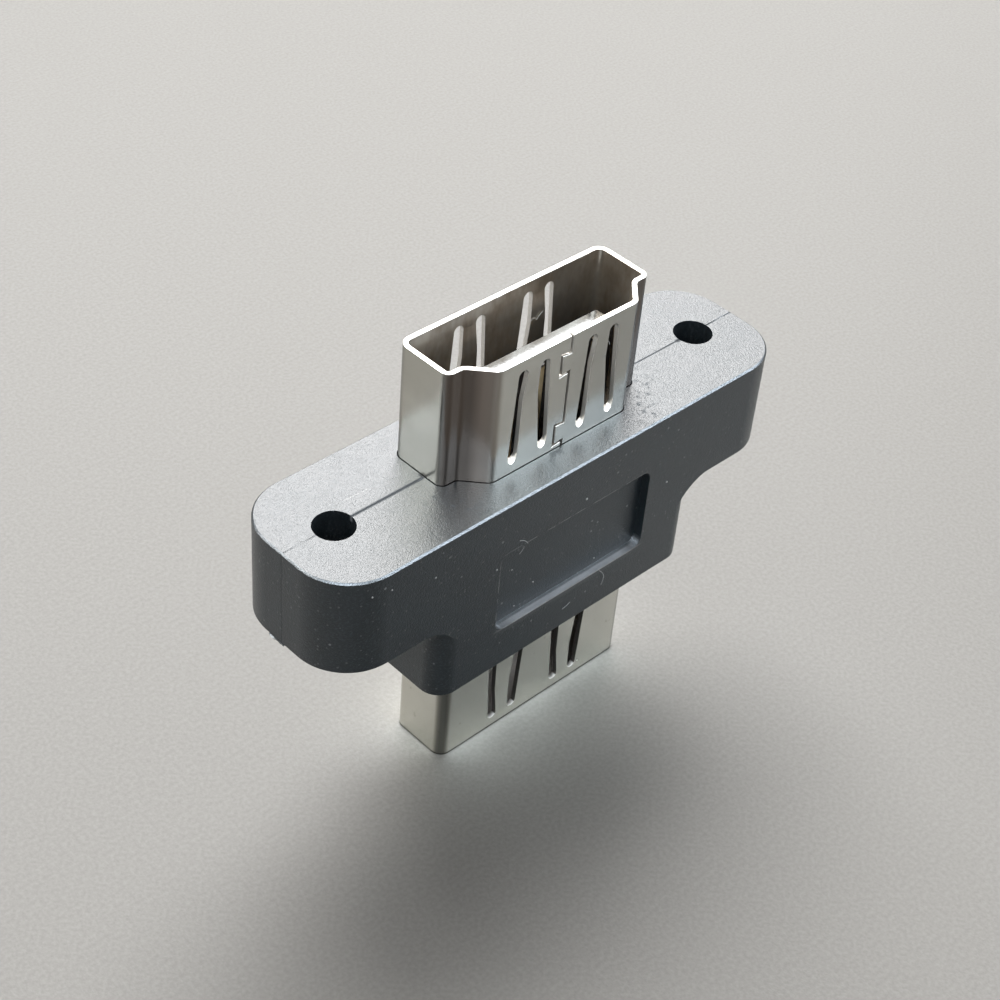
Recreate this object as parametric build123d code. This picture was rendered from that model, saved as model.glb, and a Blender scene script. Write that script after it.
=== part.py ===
from build123d import *
import os

# Panel coupler: two 19-way video receptacles, back to back in one moulded body.
# Millimetres. The part stands on the rim of its lower receptacle, and the origin is the
# middle of that rim. +Z points up, X runs along the flange and Y across it.

# Moulded body
flange_length = 33.5
flange_thickness = 6.15
flange_corner_radius = 3.2
body_width = 9.0
block_length = 19.6
block_height = 5.55
block_corner_radius = 1.3
cove_radius = 1.5
edge_break = 0.1
hole_spacing = 26.8
hole_diameter = 2.3

# Shallow blank recess in the front of the body
recess_length = 11.4
recess_height = 5.5
recess_depth = 0.55
recess_drop = 3.4
recess_corner_radius = 0.6

# Sheet-metal receptacle shells: on each side the sheet turns in along a short ledge and
# then slants to the narrow wall
opening_width = 14.0
opening_thickness = 4.55
sheet = 0.3
side_wall_width = 3.8
ledge_width = 1.05
narrow_wall_width = 9.9
wide_corner_radius = 0.7
side_corner_radius = 0.5
ledge_corner_radius = 0.5
narrow_corner_radius = 0.6
shell_depth = 11.5
upper_reach = 7.2
lower_reach = 7.8
mould_gap = 0.04

# Spring strips, bowed inwards from the wide and narrow walls
spring_spacing = 5.0
spring_start = 0.7
spring_length = 5.0
spring_tip_width = 0.9
spring_root_width = 1.5
spring_slot = 0.65
spring_bow = 0.13
spring_crest = 1.7
spring_crest_radius = 3.0

# Interlocked seam in the middle of the narrow wall
seam_gap = 0.15
seam_offset = 0.12
seam_lug_reach = 0.65
seam_lug_height = 1.2
seam_lug_flare = 0.08
seam_first_lug = 1.1
seam_lug_pitch = 4.55
seam_lugs = 2

# Insulators: a housing across each shell, with a tongue that carries the contacts
floor_depth = 8.4
housing_gap = 0.03
tongue_width = 10.9
tongue_thickness = 1.4
tongue_drop = 2.35
tongue_chamfer = 0.2

# Contacts: ten on the wide side of the tongue, nine on the narrow side, half a pitch apart
contact_pitch = 1.0
wide_row_count = 10
narrow_row_count = 9
contact_width = 0.45
contact_thickness = 0.2
contact_proud = 0.03
contact_gap = 0.02
contact_inset = 0.5
contact_tip_chamfer = 0.1
tail_gap = 0.8

# Board between the receptacles, and the moulding round it
board_length = 10.6
inner_mould_length = 11.6
inner_mould_width = 3.6

# Heights and places that follow from the sizes above
flange_base = lower_reach + block_height
flange_top = flange_base + flange_thickness
total_height = flange_top + upper_reach
rear_space = total_height - 2 * shell_depth
shell_thickness = opening_thickness + 2 * sheet
spring_top = -spring_start - spring_slot / 2
spring_bottom = spring_top - spring_length
spring_cut = spring_bow + 2 * sheet
contact_seat = tongue_thickness / 2 + contact_proud - contact_thickness
contact_top = -tongue_drop - contact_inset
tail_length = (rear_space - tail_gap) / 2
contact_length = shell_depth + tail_length + contact_top

# A receptacle is modelled with its mouth at Z = 0 and reaches down from there
upper_place = Pos(0, 0, total_height)
lower_place = Rot(180, 0, 0)


def shell_outline():
    """Outer face of a shell, with the wide wall at +Y."""
    wide = opening_width / 2 + sheet
    narrow = narrow_wall_width / 2
    far = shell_thickness / 2
    ledge = far - side_wall_width
    right = [(wide, far), (wide, ledge), (wide - ledge_width, ledge), (narrow, -far)]
    radii = [wide_corner_radius, side_corner_radius, ledge_corner_radius, narrow_corner_radius]
    left = [(-x, y) for x, y in reversed(right)]
    return make_face(FilletPolyline(*right, *left, radius=radii + radii[::-1], close=True))


def spring_outline(place):
    """One spring strip with half of the slot on each side, in the plane of its wall."""
    tip = (spring_tip_width + spring_slot) / 2
    root = (spring_root_width + spring_slot) / 2
    return make_face(Polyline(
        (place - tip, spring_top),
        (place + tip, spring_top),
        (place + root, spring_bottom),
        (place - root, spring_bottom),
        close=True,
    ))


def spring_slots(place):
    """The two round-ended slots beside a spring strip, in the plane of its wall."""
    slots = Sketch()
    for side in (-1, 1):
        tip = Pos(place + side * (spring_tip_width + spring_slot) / 2, spring_top)
        root = Pos(place + side * (spring_root_width + spring_slot) / 2, spring_bottom)
        slots += make_hull((tip * Circle(spring_slot / 2) + root * Circle(spring_slot / 2)).edges())
    return slots


def spring_bend(wall, inward):
    """Side view of a spring strip: the sheet of its wall, bowed into the opening."""
    height = spring_top - spring_crest
    back = FilletPolyline(
        (wall, spring_bottom),
        (wall + inward * spring_bow, height),
        (wall, spring_top),
        radius=spring_crest_radius,
    )
    front = Pos(inward * sheet, 0) * back
    ends = Line(back @ 0, front @ 0) + Line(back @ 1, front @ 1)
    return make_face(back + front + ends)


def seam_path():
    """The joint between the two ends of the folded sheet, from the rim down."""
    points = [(seam_offset, sheet)]
    for lug in range(seam_lugs):
        top = -seam_first_lug - lug * seam_lug_pitch
        bottom = top - seam_lug_height
        reach = seam_offset - seam_lug_reach
        points += [
            (seam_offset, top),
            (reach, top + seam_lug_flare),
            (reach, bottom - seam_lug_flare),
            (seam_offset, bottom),
        ]
    points.append((seam_offset, -shell_depth - sheet))
    return Polyline(*points)


def receptacle_shell():
    """One folded shell, open at the mouth and at the rear."""
    outer = shell_outline()
    shell = extrude(outer - offset(outer, -sheet), -shell_depth)
    face = shell_thickness / 2
    for wall, inward in ((-face, 1), (face, -1)):
        for place in (-spring_spacing / 2, spring_spacing / 2):
            window = Pos(0, wall) * extrude(Plane.XZ * spring_outline(place), spring_cut, both=True)
            slots = Pos(0, wall) * extrude(Plane.XZ * spring_slots(place), spring_cut, both=True)
            strip = extrude(Plane.YZ * spring_bend(wall, inward), opening_width / 2, both=True)
            shell = shell - window - slots + ((strip & window) - slots)
    seam = extrude(Plane.XZ * trace(seam_path(), seam_gap), spring_cut, both=True)
    return shell - Pos(0, -face) * seam


def contact_places():
    """Middle of each contact across the tongue, and the side of the tongue it lies on."""
    places = []
    for side, count in ((1, wide_row_count), (-1, narrow_row_count)):
        for number in range(count):
            places.append(((number - (count - 1) / 2) * contact_pitch, side))
    return places


def contact_strip(x, side):
    """One contact: a straight strip from the tongue to the board."""
    strip = Pos(x, contact_seat + contact_thickness / 2, contact_top) * Box(
        contact_width, contact_thickness, contact_length, align=(Align.CENTER, Align.CENTER, Align.MAX)
    )
    tip = strip.edges().filter_by(Axis.X).sort_by(Axis.Z)[-2:].sort_by(Axis.Y)[-1]
    strip = chamfer(tip, contact_tip_chamfer)
    return strip if side > 0 else mirror(strip, Plane.XZ)


def contact_groove(x, side):
    """The space that a contact takes from the insulator."""
    middle = contact_seat + (contact_thickness + contact_gap) / 2
    return Pos(x, side * middle, contact_top + contact_gap) * Box(
        contact_width + 2 * contact_gap,
        contact_thickness + contact_gap,
        shell_depth,
        align=(Align.CENTER, Align.CENTER, Align.MAX),
    )


def insulator():
    """Housing across the shell, and the tongue that stands on its floor."""
    opening = offset(shell_outline(), -sheet)
    housing = Pos(0, 0, -shell_depth) * extrude(offset(opening, -housing_gap), shell_depth - floor_depth)
    tongue = Pos(0, 0, -floor_depth) * Box(
        tongue_width,
        tongue_thickness,
        floor_depth - tongue_drop,
        align=(Align.CENTER, Align.CENTER, Align.MIN),
    )
    tongue = chamfer(tongue.faces().sort_by(Axis.Z)[-1].edges(), tongue_chamfer)
    moulding = housing + tongue
    for x, side in contact_places():
        moulding -= contact_groove(x, side)
    return moulding


def board():
    """Printed board: its faces carry the tails of both sets of contacts."""
    return Pos(0, 0, total_height / 2) * Box(board_length, 2 * contact_seat, rear_space)


def inner_mould(tails):
    """First moulding round the board and the contact tails, between the receptacles."""
    block = Pos(0, 0, total_height / 2) * Box(inner_mould_length, inner_mould_width, rear_space)
    return block - board() - tails


def moulded_body():
    """Flange and block in one piece, with pockets for the receptacles."""
    block = RectangleRounded(block_length, body_width, block_corner_radius)
    block = Pos(0, 0, lower_reach) * extrude(block, block_height)
    plate = Rectangle(flange_length, 2 * body_width)
    body = block + Pos(0, 0, flange_base) * extrude(plate, flange_thickness)
    underside = body.faces().filter_by(Axis.Z).sort_by(Axis.Z)[1]
    body = fillet(underside.inner_wires()[0].edges(), cove_radius)
    body &= extrude(RectangleRounded(flange_length, body_width, flange_corner_radius), flange_top)
    for level in (0, -1):
        body = chamfer(body.faces().sort_by(Axis.Z)[level].edges(), edge_break)
    for x in (-hole_spacing / 2, hole_spacing / 2):
        body -= Pos(x, 0, flange_base) * Cylinder(hole_diameter / 2, 3 * flange_thickness)
    pocket = extrude(offset(shell_outline(), mould_gap), -shell_depth)
    body -= upper_place * pocket + lower_place * pocket
    body -= Pos(0, 0, total_height / 2) * Box(inner_mould_length, inner_mould_width, rear_space)
    return body - blank_recess()


def blank_recess():
    """The volume that the recess takes from the front face."""
    middle = flange_top - recess_drop - recess_height / 2
    outline = RectangleRounded(recess_length, recess_height, recess_corner_radius)
    return Pos(0, -body_width / 2, middle) * extrude(Plane.XZ * outline, recess_depth, both=True)


shell = receptacle_shell()
housing = insulator()
parts = {
    "moulded_body": moulded_body(),
    "circuit_board": board(),
    "upper_shell": upper_place * shell,
    "lower_shell": lower_place * shell,
    "upper_insulator": upper_place * housing,
    "lower_insulator": lower_place * housing,
}
tails = Part()
for number, (x, side) in enumerate(contact_places(), start=1):
    strip = contact_strip(x, side)
    for level, place in (("upper", upper_place), ("lower", lower_place)):
        parts[f"{level}_contact_{number:02d}"] = place * strip
        tails += place * strip
parts["inner_mould"] = inner_mould(tails)

os.makedirs("parts", exist_ok=True)
for name, solid in parts.items():
    solid.label = name
    export_step(solid, f"parts/{name}.step")
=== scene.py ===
import bmesh
import bpy
import math
import random
from mathutils import Matrix, Vector


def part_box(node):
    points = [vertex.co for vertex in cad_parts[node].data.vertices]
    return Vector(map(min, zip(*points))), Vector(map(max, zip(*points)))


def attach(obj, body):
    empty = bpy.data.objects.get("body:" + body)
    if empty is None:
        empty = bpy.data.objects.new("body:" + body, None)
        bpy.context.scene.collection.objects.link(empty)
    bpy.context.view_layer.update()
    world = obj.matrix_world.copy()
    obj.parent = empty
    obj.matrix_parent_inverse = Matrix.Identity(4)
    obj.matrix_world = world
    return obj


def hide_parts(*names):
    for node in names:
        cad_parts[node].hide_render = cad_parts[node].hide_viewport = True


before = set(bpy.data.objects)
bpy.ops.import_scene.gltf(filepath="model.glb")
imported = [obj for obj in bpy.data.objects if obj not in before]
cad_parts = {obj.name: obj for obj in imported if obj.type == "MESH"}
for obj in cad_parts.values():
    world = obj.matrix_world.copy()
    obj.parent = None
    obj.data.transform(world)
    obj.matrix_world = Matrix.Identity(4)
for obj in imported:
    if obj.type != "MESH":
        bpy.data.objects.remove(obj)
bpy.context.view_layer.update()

# Camera
# The part stands on one of its two mouths, seen from in front, from the left and from above.
# The places in this file are in metres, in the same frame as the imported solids.
camera = bpy.data.objects.new("camera", bpy.data.cameras.new("camera"))
camera.location = (-0.06176, -0.05670, 0.08542)
camera.rotation_euler = [math.radians(turn) for turn in (49.394, -3.969, -43.364)]
camera.data.lens = 71.2
camera.data.clip_start = 0.005
bpy.context.scene.collection.objects.link(camera)
bpy.context.scene.camera = camera
bpy.context.scene.view_settings.view_transform = "Standard"


# Studio floor and light
# A plain pale floor, an even room light and one soft box, which lies where a level face mirrors
# the camera. Four plain boards on the other sides show in glossy faces alone, so that the light
# on the part itself stays at a plain level. The room is seen paler than it lights.
class Signal:
    """A shader socket that Python's own signs work on."""

    def __init__(self, shading, socket):
        self.shading = shading
        self.socket = socket

    def math(self, operation, *values):
        settings = {"operation": operation}
        return self.shading.node("ShaderNodeMath", settings, dict(enumerate(values)))

    def __add__(self, other):
        return self.math("ADD", self, other)

    def __radd__(self, other):
        return self.math("ADD", other, self)

    def __sub__(self, other):
        return self.math("SUBTRACT", self, other)

    def __rsub__(self, other):
        return self.math("SUBTRACT", other, self)

    def __mul__(self, other):
        return self.math("MULTIPLY", self, other)

    def __rmul__(self, other):
        return self.math("MULTIPLY", other, self)

    def __abs__(self):
        return self.math("ABSOLUTE", self)

    def beside(self, name):
        """Another output of the same node."""
        return Signal(self.shading, self.socket.node.outputs[name])

    def between(self, start, end):
        """0 at start, 1 at end and an even change between them. Start may be the higher one."""
        settings = {"clamp": True}
        inputs = {"Value": self, "From Min": start, "From Max": end}
        return self.shading.node("ShaderNodeMapRange", settings, inputs)


class Shading:
    """The nodes of a material or of the world, and the shader that they feed."""

    def __init__(self, tree, shader):
        self.tree = tree
        self.shader = tree.nodes[shader]

    def node(self, kind, settings=None, inputs=None, output=0):
        """Adds a node, sets it up, joins its inputs and gives back one of its outputs."""
        node = self.tree.nodes.new(kind)
        for setting, value in (settings or {}).items():
            setattr(node, setting, value)
        for socket, value in (inputs or {}).items():
            if isinstance(value, Signal):
                self.tree.links.new(value.socket, node.inputs[socket])
            else:
                node.inputs[socket].default_value = value
        return Signal(self, node.outputs[output])

    def paint(self, **sockets):
        """Joins signals to the shader."""
        for socket, value in sockets.items():
            self.tree.links.new(value.socket, self.shader.inputs[socket.replace("_", " ")])


class Finish(Shading):
    """A material on its way: its principled shader and the nodes in front of it."""

    def __init__(self, name, **constants):
        self.material = bpy.data.materials.new(name)
        self.material.use_nodes = True
        super().__init__(self.material.node_tree, "Principled BSDF")
        for socket, value in constants.items():
            self.shader.inputs[socket.replace("_", " ")].default_value = value
        self.place = self.node("ShaderNodeTexCoord", output="Object")

    def along(self, axis):
        """How far along an axis the surface lies, in metres."""
        return self.node("ShaderNodeSeparateXYZ", None, {"Vector": self.place}, axis)

    def noise(self, scale, detail=2, stretch=(1, 1, 1)):
        """Cloudy noise from 0 to 1 with so many grains to the metre."""
        place = self.node("ShaderNodeMapping", None, {"Vector": self.place, "Scale": stretch})
        inputs = {"Vector": place, "Scale": scale, "Detail": detail}
        return self.node("ShaderNodeTexNoise", None, inputs, "Fac")

    def crumbs(self, scale, size, share):
        """1 on small round crumbs, one in a share of the cells of a grid so many to the metre."""
        inputs = {"Vector": self.place, "Scale": scale}
        near = self.node("ShaderNodeTexVoronoi", None, inputs, "Distance")
        pick = self.node("ShaderNodeSeparateColor", None, {"Color": near.beside("Color")}, "Red")
        return near.between(size, 0.6 * size) * pick.between(1 - share, 1 - 0.9 * share)

    def stroke(self, middle, turn, length, width):
        """1 on a thin straight stroke across the surface, with soft ends and sides. It fades 0.3
        to 0.4 mm off its own level, so that it marks one face alone."""
        settings = {"vector_type": "TEXTURE"}
        inputs = {"Vector": self.place, "Location": middle, "Rotation": turn}
        line = self.node("ShaderNodeMapping", settings, inputs)
        run = self.node("ShaderNodeSeparateXYZ", None, {"Vector": line}, "X")
        ends = abs(run).between(length / 2, 0.35 * length)
        sides = abs(run.beside("Y")).between(width / 2, 0.2 * width)
        skin = abs(run.beside("Z")).between(0.0004, 0.0003)
        return ends * sides * skin

    def mix(self, amount, first, second):
        """Colour between two colours. The numbers are the sockets of a mix of colours."""
        colours = [one if isinstance(one, Signal) else (*one, 1) for one in (first, second)]
        inputs = dict(zip((0, 6, 7), (amount, *colours)))
        return self.node("ShaderNodeMix", {"data_type": "RGBA"}, inputs, 2)

    def layers(self, colour, *covers):
        """A colour under others, each laid on as thick as its signal says."""
        for amount, cover in covers:
            colour = self.mix(amount, colour, cover)
        return colour

    def relief(self, height, depth):
        """Raises the surface by a height signal, in so many metres at 1."""
        inputs = {"Height": height, "Distance": depth, "Strength": 1.0}
        self.paint(Normal=self.node("ShaderNodeBump", None, inputs, "Normal"))


paper_shade = (0.308, 0.300, 0.286)
paper_white = (0.352, 0.344, 0.329)
floor_finish = Finish("floor_paper", Roughness=0.34, IOR=1.12)
flecks = floor_finish.noise(4000).between(0.3, 0.7)
floor_finish.paint(Base_Color=floor_finish.mix(flecks, paper_shade, paper_white))
floor_finish.relief(floor_finish.noise(7000), 0.00001)
sheet = bmesh.new()
bmesh.ops.create_grid(sheet, x_segments=4, y_segments=4, size=1.0)
floor = bpy.data.objects.new("floor", bpy.data.meshes.new("floor"))
sheet.to_mesh(floor.data)
sheet.free()
floor.data.materials.append(floor_finish.material)
bpy.context.scene.collection.objects.link(floor)

room_light = 0.35
room_seen = 0.75
world = bpy.data.worlds.new("room")
world.use_nodes = True
room = Shading(world.node_tree, "Background")
room.shader.inputs["Color"].default_value = (1.0, 0.99, 0.97, 1)
camera_ray = room.node("ShaderNodeLightPath", output="Is Camera Ray")
seen = camera_ray + camera_ray.beside("Is Glossy Ray") + camera_ray.beside("Is Transmission Ray")
room.paint(Strength=room_light + (room_seen - room_light) * seen)
bpy.context.scene.world = world

lamp_distance = 0.6
lamp_target = Vector((0, 0, 0.018))
white = (1, 1, 1)
pale_blue = (0.92, 0.97, 1.0)
cool_blue = (0.76, 0.88, 1.0)


def soft_box(name, direction, width, height, radiance, colour):
    """An area lamp that faces the part, with the brightness of its face given."""
    lamp = bpy.data.objects.new(name, bpy.data.lights.new(name, "AREA"))
    lamp.data.shape = "RECTANGLE"
    lamp.data.size = width
    lamp.data.size_y = height
    lamp.data.energy = radiance * math.pi * width * height
    lamp.data.color = colour
    toward = Vector(direction).normalized()
    lamp.matrix_world = (
        Matrix.Translation(lamp_target + lamp_distance * toward)
        @ toward.to_track_quat("Z", "Y").to_matrix().to_4x4()
    )
    bpy.context.scene.collection.objects.link(lamp)
    return lamp


soft_box("back_light", (0.45, 0.57, 0.69), 0.5, 0.36, 12.3, white)
for board in (
    soft_box("top_board", (0.36, 0.61, 0.705), 0.5, 0.36, 3.3, white),
    soft_box("right_board", (0.554, -0.521, 0.649), 0.5, 0.34, 27.0, cool_blue),
    soft_box("left_board", (-0.554, 0.521, 0.649), 0.5, 0.34, 23.0, pale_blue),
    soft_box("front_board", (-0.54, -0.525, 0.649), 0.5, 0.34, 27.0, cool_blue),
):
    board.visible_diffuse = False

# Moulded body
# Flange and block are one moulding in matt black plastic. It has a fine grain from the mould
# and a parting line along its middle, and handling has left dust and a few scratches on it.

# How near points count as one point, as lying on a face, and as lying on a cut
weld = 0.000002
touch = 0.000001
cut_touch = 0.0000001
flat_angle = math.radians(0.5)
sharp_angle = math.radians(32)


def joined(node):
    """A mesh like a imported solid, with its loose triangles joined to whole faces."""
    mesh = bmesh.new()
    mesh.from_mesh(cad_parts[node].data)
    bmesh.ops.remove_doubles(mesh, verts=mesh.verts, dist=weld)
    bmesh.ops.dissolve_limit(mesh, angle_limit=flat_angle, verts=mesh.verts, edges=mesh.edges)
    return mesh


def ease_edges(mesh, edge_width):
    """Rounds the sharp edges of a mesh and shades it smooth."""
    sharp = [
        edge for edge in mesh.edges
        if len(edge.link_faces) == 2 and edge.calc_face_angle() > sharp_angle
    ]
    bmesh.ops.bevel(
        mesh, geom=sharp, offset=edge_width, offset_type="OFFSET", segments=2, profile=0.5,
        affect="EDGES", clamp_overlap=True, material=-1,
    )
    for face in mesh.faces:
        face.smooth = True


def placed(mesh, name, slot, *finishes):
    """Makes a piece of a finished mesh and lets it ride on the part."""
    piece = bpy.data.objects.new(name, bpy.data.meshes.new(name))
    mesh.to_mesh(piece.data)
    mesh.free()
    for finish in finishes:
        piece.data.materials.append(finish.material)
    bpy.context.scene.collection.objects.link(piece)
    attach(piece, "root")
    return piece


def even_flats(piece):
    """Keeps the shading of flat faces flat beside their rounded edges."""
    weighted = piece.modifiers.new("even_flats", "WEIGHTED_NORMAL")
    weighted.keep_sharp = True
    weighted.weight = 80


low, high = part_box("moulded_body")
flange_end = high.x
flange_top = high.z
block_height = 0.00555
hole_inset = 0.0034
left_hole = low.x + hole_inset
body_edge = 0.00004
half_line = 0.00005
line_depth = 0.00004
open_depth = 3 * line_depth
faint_depth = 0.35 * line_depth

# The parting line is a fine groove round the flange. It gapes between the left hole and the
# middle, and it is faint at the left end.
body_mesh = joined("moulded_body")
ease_edges(body_mesh, body_edge)
for side in (-half_line, 0, half_line):
    bmesh.ops.bisect_plane(
        body_mesh, geom=body_mesh.verts[:] + body_mesh.edges[:] + body_mesh.faces[:],
        plane_co=(0, side, 0), plane_no=(0, 1, 0), dist=cut_touch,
    )
for corner in body_mesh.verts:
    if abs(corner.co.y) > touch:
        continue
    if corner.co.z > flange_top - touch:
        if corner.co.x < left_hole:
            corner.co.z -= faint_depth
        else:
            corner.co.z -= open_depth if corner.co.x < 0 else line_depth
    elif abs(corner.co.x) > flange_end - touch:
        corner.co.x *= 1 - 0.5 * line_depth / flange_end
for edge in body_mesh.edges:
    if all(abs(abs(corner.co.y) - half_line) < touch for corner in edge.verts):
        edge.smooth = all(corner.co.z < flange_top - touch for corner in edge.verts)

plastic = Finish("black_plastic", Roughness=0.35, IOR=1.56)
grain = plastic.noise(15000, 1)
pores = plastic.noise(7600, 3)
mottle = plastic.noise(420, 4)
breaks = plastic.noise(1500).between(0.42, 0.56)
streaks = plastic.noise(2600, 3, (0.3, 1, 1))

# Dust shows on the upright faces alone. The top of the flange mirrors too much light.
upright_face = plastic.along("Z").between(flange_top - 0.00005, flange_top - 0.0003)
dust = plastic.crumbs(2100, 0.2, 0.06) * upright_face
fine_dust = plastic.crumbs(3400, 0.26, 0.22) * upright_face

# Marks on the top of the flange: a scratch, two bruises, and stretches of the parting line painted
# darker.
flat = (0, 0, 0)
scratch = plastic.stroke((-0.0109, 0.00113, flange_top), (0, 0, -0.05), 0.0017, 0.00008)
bruises = plastic.noise(2600, 3).between(0.52, 0.8) * (
    plastic.stroke((0.0069, -0.00234, flange_top), (0, 0, 0.883), 0.0056, 0.0016)
    + plastic.stroke((-0.0075, -0.00272, flange_top), (0, 0, -0.95), 0.0036, 0.0014)
)
parting_line_dark = (
    plastic.stroke((-0.0099, 0, flange_top), flat, 0.0060, 0.00028)
    + plastic.stroke((0.0103, 0, flange_top), flat, 0.0042, 0.00015)
    + plastic.stroke((-0.0073, 0.0002, flange_top), flat, 0.0004, 0.0004)
    + plastic.stroke((0.0123, 0, flange_top), flat, 0.0008, 0.0004)
)

# The recess in the front: its upper and left edges are worn in places. Its lower edge is worn
# all along and has a painted highlight, and its lower wall, which faces up, holds dust and a
# painted sheen.
recess_top = 0.0161
recess_middle = 0.01335
recess_foot = 0.0106
recess_left = -0.0057
recess_depth = 0.00055
upright = (math.radians(90), 0, 0)
upended = (math.radians(90), math.radians(-90), 0)
worn_edges = breaks * (
    plastic.stroke((0, low.y, recess_top), upright, 0.0116, 0.00014)
    + plastic.stroke((recess_left, low.y, recess_middle), upended, 0.0052, 0.00014)
)
worn_rim_highlight = (0.4 + 0.6 * streaks) * plastic.stroke(
    (0, low.y, recess_foot - 0.00002), upright, 0.0118, 0.00018
)
lower_wall = plastic.stroke((0, low.y + recess_depth / 2, recess_foot), flat, 0.0124, 0.0007)

deep_black = (0.002, 0.007, 0.011)
blue_black = (0.004, 0.012, 0.017)
pore_grey = (0.024, 0.035, 0.042)
haze_grey = (0.07, 0.078, 0.08)
wall_dust_and_sheen = (0.17, 0.175, 0.18)
scratch_white = (0.6, 0.6, 0.58)
rim_wear_and_highlight = (0.5, 0.51, 0.53)
line_black = (0.003, 0.003, 0.003)
crumb_grey = (0.28, 0.29, 0.30)
plastic.paint(
    Base_Color=plastic.layers(
        deep_black,
        (mottle.between(0.3, 0.7), blue_black),
        (pores.between(0.5, 0.72), pore_grey),
        (fine_dust, haze_grey),
        (lower_wall * streaks, wall_dust_and_sheen),
        (0.22 * scratch, scratch_white),
        (worn_rim_highlight, rim_wear_and_highlight),
        (parting_line_dark, line_black),
        (0.6 * dust + 0.7 * worn_edges, crumb_grey),
    ),
    Roughness=(
        0.18 + 0.1 * grain + 0.16 * pores + 0.06 * mottle
        + 0.3 * dust + 0.5 * parting_line_dark + 0.5 * bruises + 0.22 * lower_wall
    ),
)
plastic.relief(grain + 0.42 * pores + 0.25 * bruises, 0.00002)
body = placed(body_mesh, "coupler_body", "body", plastic)
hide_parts("moulded_body")
even_flats(body)

# Flash
# A flake of plastic squeezed out between the mould halves is left at the foot of the flange's
# left end, where the parting line ends. Its free edge is torn.
flake_width = 0.0012
flake_place = 0.0004
flake_root = 0.00004
flake_reach = 0.00009
flake_drop = 0.00012
flake = bmesh.new()
bmesh.ops.create_grid(flake, x_segments=9, y_segments=2, size=0.5)
random.seed(4)
for corner in flake.verts:
    along, across = corner.co.x, corner.co.y
    torn = across < -0.1
    rooted = across > 0.1
    bite = random.uniform(0.3, 1.0) if torn else 1
    corner.co = (
        -flange_end - (flake_reach * bite if torn else 0) + (flake_root if rooted else 0),
        flake_place + along * flake_width,
        low.z + block_height - flake_drop * bite * (0.5 - across),
    )
bmesh.ops.recalc_face_normals(flake, faces=flake.faces)
flash = placed(flake, "parting_flash", "body", plastic)
flash_wall = flash.modifiers.new("flash_wall", "SOLIDIFY")
flash_wall.thickness = 0.00005
flash_wall.offset = 0

# Receptacle shells
# Each shell is folded from 0.3 mm steel sheet with a bright nickel finish, closed by the seam
# on its narrow wall. The press leaves the sheet's edges matt. The narrow bends and the inside are
# painted browner and darker, as painted shade.
pale_nickel = (0.485, 0.47, 0.42)
grey_nickel = (0.405, 0.39, 0.345)
painted_light_nickel = (0.74, 0.72, 0.64)
painted_bend_shade = (0.205, 0.17, 0.145)
painted_bend_deep_shade = (0.07, 0.058, 0.05)
speck_brown = (0.25, 0.23, 0.2)
painted_corner_shade = (0.11, 0.105, 0.09)
painted_wall_shade = (0.27, 0.26, 0.235)
painted_contact_shadow = (0.06, 0.055, 0.05)
lint_white = (0.85, 0.84, 0.80)

nickel = Finish("bright_nickel", Metallic=1.0)
drawn = nickel.noise(2600, 3, (1, 1, 0.06))
cloud = nickel.noise(330, 4)
specks = nickel.noise(2400).between(0.68, 0.78)
lint = nickel.crumbs(1300, 0.10, 0.05)
sideways = nickel.along("X")
depthwise = sideways.beside("Y")
height = sideways.beside("Z")
from_middle = abs(sideways)
# The lower shell is painted paler than the upper one: painted light.
lightened_lower_shell = height.between(0.0135, 0.012)
# The bends beside the seam are painted brown, darkest towards the corners: painted shade.
shaded_bend = (
    from_middle.between(0.0046, 0.0052) * from_middle.between(0.0075, 0.0072)
    * depthwise.between(-0.0007, -0.0011) * height.between(0.015, 0.016)
)
# The corners of the wide wall are painted dark grey: painted shade.
shaded_wide_corner = from_middle.between(0.00665, 0.00695) * abs(depthwise).between(0.0019, 0.0023)
# The near wall of the upper shell is painted darker, more so towards its right: painted shade.
shaded_near_wall = depthwise.between(-0.0019, -0.0024) * height.between(0.0195, 0.0198)
# A dark band is painted along the lower shell's mouth where it stands on the floor: a painted
# contact shadow.
shadowed_mouth_edge = height.between(0.00017, 0.00008)
nickel.paint(
    Base_Color=nickel.layers(
        pale_nickel,
        (cloud.between(0.35, 0.7), grey_nickel),
        (0.4 * lightened_lower_shell, painted_light_nickel),
        (shaded_bend, painted_bend_shade),
        (0.7 * shaded_bend * from_middle.between(0.0055, 0.0059), painted_bend_deep_shade),
        (0.4 * specks, speck_brown),
        (0.8 * shaded_wide_corner, painted_corner_shade),
        (shaded_near_wall * (0.2 + 0.45 * sideways.between(-0.003, 0.003)), painted_wall_shade),
        (0.75 * shadowed_mouth_edge, painted_contact_shadow),
        (lint, lint_white),
    ),
    Roughness=0.15 + 0.08 * drawn + 0.08 * cloud + 0.3 * lint,
)
nickel.relief(drawn + 0.3 * cloud, 0.000003)

# The inside of each shell is painted browner and darker than the outside: painted shade.
light_brown = (0.41, 0.36, 0.30)
deep_brown = (0.23, 0.185, 0.14)
inner_nickel = Finish("shaded_inner_nickel", Metallic=1.0)
stain = inner_nickel.noise(1100, 4, (1, 1, 0.5))
inner_nickel.paint(
    Base_Color=inner_nickel.mix(stain.between(0.35, 0.65), light_brown, deep_brown),
    Roughness=0.24 + 0.2 * stain,
)
inner_nickel.relief(stain, 0.000008)

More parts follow.
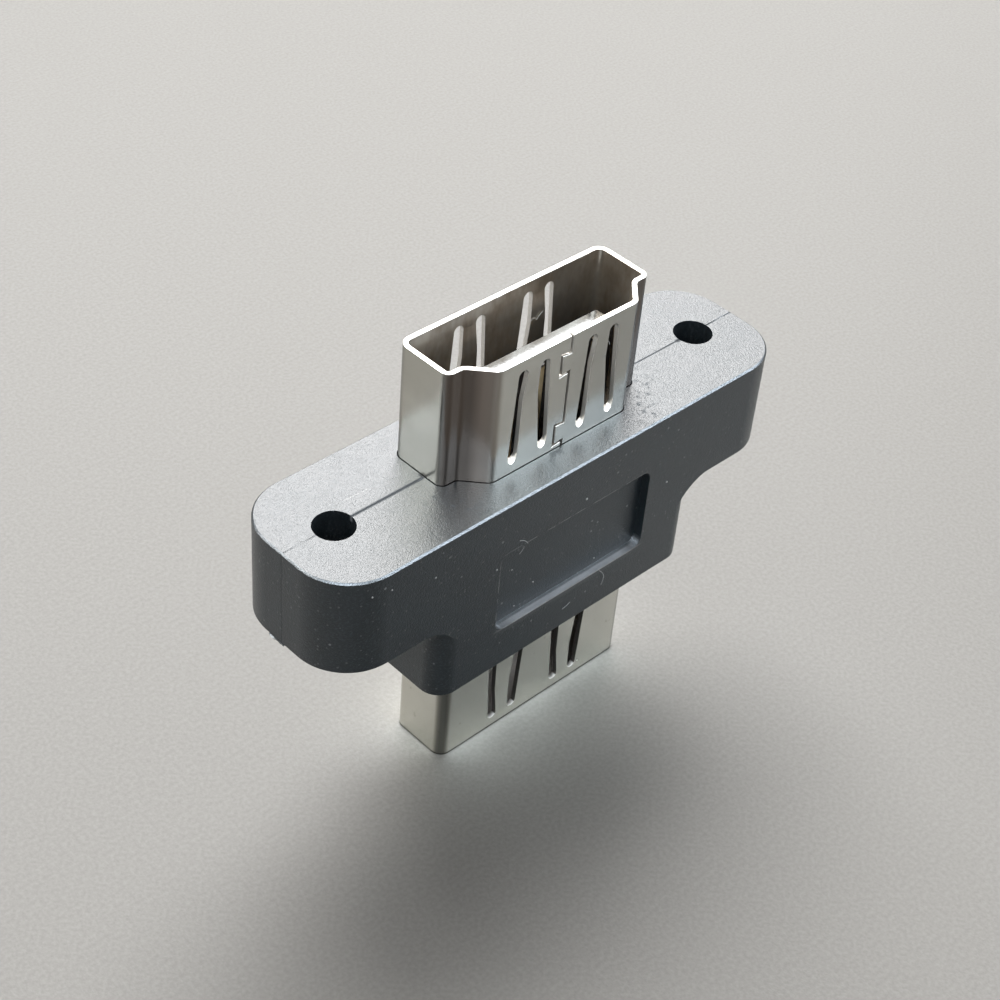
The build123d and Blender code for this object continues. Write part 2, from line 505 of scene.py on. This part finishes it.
# The cut edges are dull. In the seam and in the slots of the lower shell they are painted dark as
# painted shade, except at the feet of those slots, which catch the light.
torn_light = (0.54, 0.51, 0.47)
torn_dark = (0.40, 0.37, 0.33)
painted_seam_shade = (0.12, 0.105, 0.09)
painted_slot_shade = (0.05, 0.043, 0.036)
sheared_steel = Finish("sheared_steel", Metallic=1.0)
tears = sheared_steel.noise(7000)
cut_side = sheared_steel.along("X")
cut_height = cut_side.beside("Z")
shaded_seam_cut = abs(cut_side).between(0.0009, 0.0007) * cut_height.between(0.0266, 0.02655)
slot_feet = abs(cut_height - 0.0006).between(0.00027, 0.00022)
shaded_lower_cut = cut_height.between(0.014, 0.012) * (1 - slot_feet)
sheared_steel.paint(
    Base_Color=sheared_steel.layers(
        torn_light, (tears, torn_dark), (0.6 * shaded_seam_cut, painted_seam_shade), (0.9 * shaded_lower_cut, painted_slot_shade)
    ),
    Roughness=0.34 + 0.2 * tears,
)
sheared_steel.relief(tears, 0.000006)

# The finishes of a shell are numbered in this order: outside, inside, cut edges.
inside, cut_edge = 1, 2
shell_edge = 0.00005
slot_zone = 0.0046
slot_radius = 0.000325
slot_foot = 0.020675
slot_slope = 0.00025
rim_facing = 0.6
slot_facing = 0.5
for level in ("upper", "lower"):
    folded = joined(level + "_shell")
    if level == "upper":
        outer_face = max(corner.co.y for corner in folded.verts)
        for corner in folded.verts:
            below = (slot_foot - corner.co.z) / slot_radius
            on_wall = abs(abs(corner.co.y) - outer_face) < touch
            if 0 < below < 1.01 and on_wall and abs(corner.co.x) < slot_zone:
                corner.co.z -= slot_slope * below
    ease_edges(folded, shell_edge)
    folded.normal_update()
    for face in folded.faces:
        centre = face.calc_center_median()
        slot_side = abs(centre.x) < slot_zone and abs(face.normal.x) > slot_facing
        if abs(face.normal.z) > rim_facing or slot_side:
            face.material_index = cut_edge
        elif face.normal.x * centre.x + face.normal.y * centre.y < 0:
            face.material_index = inside
    shell = placed(folded, level + "_receptacle", "shell", nickel, inner_nickel, sheared_steel)
    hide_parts(level + "_shell")
    even_flats(shell)


# Insulators
# The housing and tongue of each receptacle are one moulding in smooth black plastic.
# The contacts lie in grooves along the tongue.
def dress(finish, word):
    """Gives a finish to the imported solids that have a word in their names."""
    for name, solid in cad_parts.items():
        if word in name:
            for place in solid.material_slots:
                place.material = finish.material


tongue_black = (0.012, 0.012, 0.013)
tongue_grey = (0.02, 0.02, 0.021)
tongue_plastic = Finish("tongue_plastic", Roughness=0.15, IOR=1.6)
shades = tongue_plastic.noise(700, 3).between(0.3, 0.7)
tongue_plastic.paint(
    Base_Color=tongue_plastic.mix(shades, tongue_black, tongue_grey),
    Roughness=0.07 + 0.06 * tongue_plastic.noise(1500),
)
tongue_plastic.relief(tongue_plastic.noise(6000), 0.000002)
dress(tongue_plastic, "insulator")

# Contacts
# Nineteen strips to a receptacle, stamped from copper alloy, plated with gold over nickel and
# laid in the grooves of the tongue. Their tips are painted dark, a painted shade
# that hides their glint.
middle_height = 0.01335
bright_gold = (0.60, 0.47, 0.28)
brown_gold = (0.44, 0.34, 0.20)
painted_tip_shade = (0.05, 0.045, 0.04)
gold = Finish("gold_plating", Metallic=1.0)
gold_streak = gold.noise(3000, 2, (1, 1, 0.1))
shaded_tip = abs(gold.along("Z") - middle_height).between(0.01015, 0.01035)
gold.paint(
    Base_Color=gold.layers(bright_gold, (gold_streak, brown_gold), (shaded_tip, painted_tip_shade)),
    Roughness=0.3 + 0.12 * gold_streak,
)
dress(gold, "contact")

# Board and first moulding
# A glass and epoxy board joins the contact tails between the two receptacles, and a first
# moulding holds them still before the body is moulded over it.
dark_green = (0.03, 0.15, 0.06)
light_green = (0.05, 0.21, 0.09)
laminate = Finish("board_laminate", Roughness=0.45)
weave = laminate.noise(2500, 2, (1, 0.2, 1))
laminate.paint(Base_Color=laminate.mix(weave, dark_green, light_green))
dress(laminate, "circuit_board")

dull_cream = (0.76, 0.75, 0.71)
pale_cream = (0.82, 0.81, 0.77)
filler = Finish("filler_plastic", Roughness=0.6)
filler.paint(Base_Color=filler.mix(filler.noise(900, 3), dull_cream, pale_cream))
dress(filler, "inner_mould")

# Dust and lint
# Crumbs of dust lie on the front of the body, and a few short fibres cling to it and to the
# upper shell. The places of both are in millimetres.
dark_dust = (0.34, 0.35, 0.35)
light_dust = (0.55, 0.55, 0.53)
dust_grey = Finish("dust_grey", Roughness=0.9)
dust_grey.paint(Base_Color=dust_grey.mix(dust_grey.noise(9000), dark_dust, light_dust))

metre = 1000
corner_radius = 0.0032
crumb_width = 0.0013
crumb_thickness = 0.0007
crumb_sink = 0.00001
front_dust = [
    (-14.54, 18.44, 0.055), (-13.40, 18.37, 0.05), (-10.44, 17.45, 0.06), (-6.01, 15.41, 0.05),
    (-4.86, 14.74, 0.045), (0.52, 16.80, 0.065), (7.28, 14.42, 0.06), (1.77, 11.79, 0.05),
    (-4.41, 11.84, 0.045), (-3.09, 12.83, 0.05),
]
crumb_mesh = bmesh.new()
random.seed(11)
for x, z, size in front_dust:
    crumb = bmesh.ops.create_icosphere(crumb_mesh, subdivisions=1, radius=1)["verts"]
    for corner in crumb:
        corner.co *= random.uniform(0.7, 1.2)
    shape = Matrix.Diagonal((crumb_width * size, crumb_thickness * size, crumb_width * size))
    bmesh.ops.transform(crumb_mesh, matrix=shape.to_4x4(), verts=crumb)
    past_flat = max(0, low.x + corner_radius - x / metre)
    front = low.y + corner_radius - math.sqrt(corner_radius ** 2 - past_flat ** 2)
    bmesh.ops.translate(crumb_mesh, verts=crumb, vec=(x / metre, front - crumb_sink, z / metre))
placed(crumb_mesh, "dust_crumbs", "body", dust_grey)

fibres = bpy.data.curves.new("lint_fibres", "CURVE")
fibres.dimensions = "3D"
fibres.bevel_depth = 0.000018
fibres.bevel_resolution = 1
fibres.use_fill_caps = True
for course in (
    ((-4.46, -4.51, 16.58), (-4.2, -4.53, 16.5), (-3.9, -4.54, 16.2), (-3.82, -4.51, 16.05)),
    ((-3.80, -3.94, 14.85), (-3.62, -3.96, 14.95), (-3.43, -3.94, 15.21)),
    ((-0.40, -4.51, 9.15), (-0.1, -4.53, 9.22), (0.19, -4.51, 9.35)),
    ((2.40, -4.51, 10.45), (2.66, -4.56, 10.2), (2.82, -4.58, 9.74), (2.70, -4.52, 9.2)),
    ((2.90, -2.47, 25.10), (3.08, -2.50, 24.98), (3.14, -2.50, 24.72)),
    (
        (1.95, 2.15, 24.10), (2.15, 2.12, 24.32), (2.33, 2.13, 24.00),
        (2.49, 2.10, 24.26), (2.80, 2.13, 24.42),
    ),
):
    thread = fibres.splines.new("NURBS")
    thread.points.add(len(course) - 1)
    for point, (x, y, z) in zip(thread.points, course):
        point.co = (x / metre, y / metre, z / metre, 1)
    thread.order_u = 3
    thread.use_endpoint_u = True
    thread.resolution_u = 6
draft = bpy.data.objects.new("lint_draft", fibres)
bpy.context.scene.collection.objects.link(draft)
threads = bmesh.new()
threads.from_mesh(bpy.data.meshes.new_from_object(draft))
bpy.data.objects.remove(draft)
placed(threads, "lint_fibres", "body", dust_grey)
